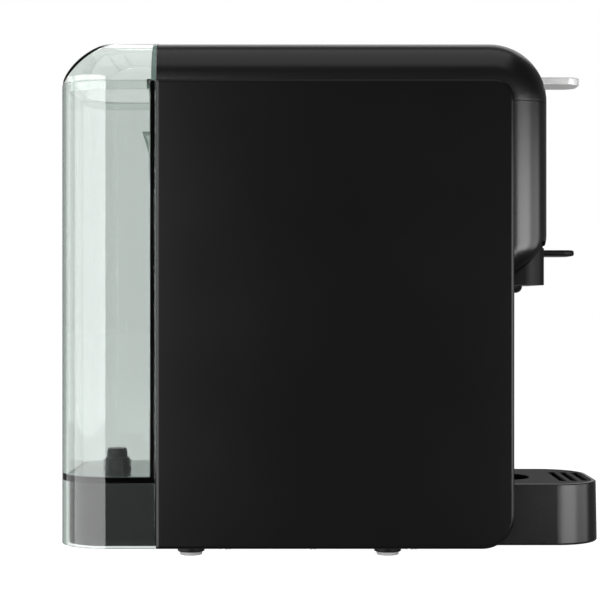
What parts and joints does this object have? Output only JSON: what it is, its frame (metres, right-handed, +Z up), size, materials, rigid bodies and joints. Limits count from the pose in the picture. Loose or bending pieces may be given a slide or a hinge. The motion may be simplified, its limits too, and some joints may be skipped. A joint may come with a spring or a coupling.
{
  "type": "pod coffee machine",
  "caption": "Slim pod coffee machine with a smoky clear rear water tank, lift lever, sliding pod holder, cup niche and pull-out drip tray.",
  "frame": {"origin": "centre of the bounding box's bottom face, on the surface the feet stand on", "axes": "+X towards the cup side (front), +Y the machine's right side, +Z up"},
  "size_m": [0.3104, 0.112, 0.2913],
  "materials": {
    "panel_black": "fine satin grain",
    "casing_black": "satin",
    "tray_black": "satin",
    "smoke_clear": "clear, polished, smoky grey-green",
    "silver": "fine bead-blasted satin",
    "inner_black": "moulded, fine texture",
    "valve_black": "satin",
    "rubber_black": "matt",
    "hose_clear": "soft",
    "rubber_grey": "matt",
    "steel": "brushed",
    "bush": "turned",
    "cast_aluminium": "as cast",
    "pump_shell": "moulded",
    "thermostat": "moulded",
    "board_green": "lacquered",
    "switch_black": "moulded",
    "button_black": "polished",
    "lens_white": "frosted"
  },
  "bodies": {
    "machine": {"base_plate": "inner_black", "feet": "inner_black", "foot_pads": "rubber_grey", "top_cover": "casing_black", "front_fascia": "casing_black", "front_column": "inner_black", "rear_wall": "inner_black", "cable_gland": "rubber_black", "tank_dock": "inner_black", "dock_post": "inner_black", "dock_seal": "rubber_black", "brew_base": "inner_black", "spout": "inner_black", "brew_frame": "steel", "shaft_bushes": "bush", "pump_body": "pump_shell", "pump_mounts": "rubber_black", "pump_cradle": "inner_black", "thermoblock": "cast_aluminium", "thermostats": "thermostat", "heater_bracket": "inner_black", "flow_housing": "pump_shell", "meter_bracket": "inner_black", "control_board": "board_green", "board_posts": "inner_black", "button_board": "board_green", "switches": "switch_black", "indicator_lenses": "lens_white", "case_screws": "steel", "hoses": "hose_clear", "left_side_panel": "panel_black", "right_side_panel": "panel_black", "left_inner_wall": "inner_black", "right_inner_wall": "inner_black", "left_niche_liner": "inner_black", "right_niche_liner": "inner_black", "left_tray_rail": "inner_black", "right_tray_rail": "inner_black"},
    "lever": {"lever_handle": "silver", "lever_drum": "inner_black", "lever_shaft": "steel", "crank": "steel"},
    "brew_plunger": {"brew_plunger": "pump_shell", "plunger_seal": "rubber_black", "piercing_plate": "steel"},
    "pod_drawer": {"pod_drawer": "inner_black", "pod_plate": "steel"},
    "drip_tray": {"drip_tray": "casing_black"},
    "drip_grate": {"drip_grate": "tray_black"},
    "water_tank": {"water_tank": "smoke_clear", "tank_valve_body": "valve_black", "valve_seal": "rubber_black", "tank_filter": "inner_black", "valve_spring": "steel"},
    "tank_lid": {"tank_lid": "smoke_clear"},
    "valve_plunger": {"valve_plunger": "valve_black"},
    "flow_impeller": {"flow_impeller": "pump_shell"},
    "power_button": {"power_button": "button_black"},
    "small_cup_button": {"small_cup_button": "button_black"},
    "large_cup_button": {"large_cup_button": "button_black"}
  },
  "joints": [
    {"name": "lever_lift", "type": "hinge", "parent": "machine", "child": "lever", "pos_m": [0.0904, 0, 0.2581], "axis": [0, -1, 0], "range_deg": [0, 75]},
    {"name": "plunger_travel", "type": "slide", "parent": "machine", "child": "brew_plunger", "axis": [0, 0, 1], "range_m": [0, 0.011]},
    {"name": "pod_drawer_slide", "type": "slide", "parent": "machine", "child": "pod_drawer", "axis": [1, 0, 0], "range_m": [0, 0.075]},
    {"name": "drip_tray_slide", "type": "slide", "parent": "machine", "child": "drip_tray", "axis": [1, 0, 0], "range_m": [0, 0.1]},
    {"name": "drip_grate_lift", "type": "slide", "parent": "drip_tray", "child": "drip_grate", "axis": [0, 0, 1], "range_m": [0, 0.05]},
    {"name": "water_tank_lift", "type": "slide", "parent": "machine", "child": "water_tank", "axis": [0, 0, 1], "range_m": [0, 0.1]},
    {"name": "tank_lid_lift", "type": "slide", "parent": "water_tank", "child": "tank_lid", "axis": [0, 0, 1], "range_m": [0, 0.06]},
    {"name": "valve_open", "type": "slide", "parent": "water_tank", "child": "valve_plunger", "axis": [0, 0, 1], "range_m": [0, 0.003], "stiffness_N_per_m": 120, "deforming": ["valve_spring"]},
    {"name": "flow_spin", "type": "hinge", "parent": "machine", "child": "flow_impeller", "pos_m": [-0.072, 0.02, 0.047], "axis": [0, 0, 1], "continuous": true},
    {"name": "power_press", "type": "slide", "parent": "machine", "child": "power_button", "axis": [-1, 0, 0], "range_m": [0, 0.0012], "stiffness_N_per_m": 900},
    {"name": "small_cup_press", "type": "slide", "parent": "machine", "child": "small_cup_button", "axis": [-1, 0, 0], "range_m": [0, 0.0012], "stiffness_N_per_m": 900},
    {"name": "large_cup_press", "type": "slide", "parent": "machine", "child": "large_cup_button", "axis": [-1, 0, 0], "range_m": [0, 0.0012], "stiffness_N_per_m": 900}
  ],
  "couplings": [
    {"joint": "plunger_travel", "follows": "lever_lift", "m_per_rad": 0.0083706}
  ]
}
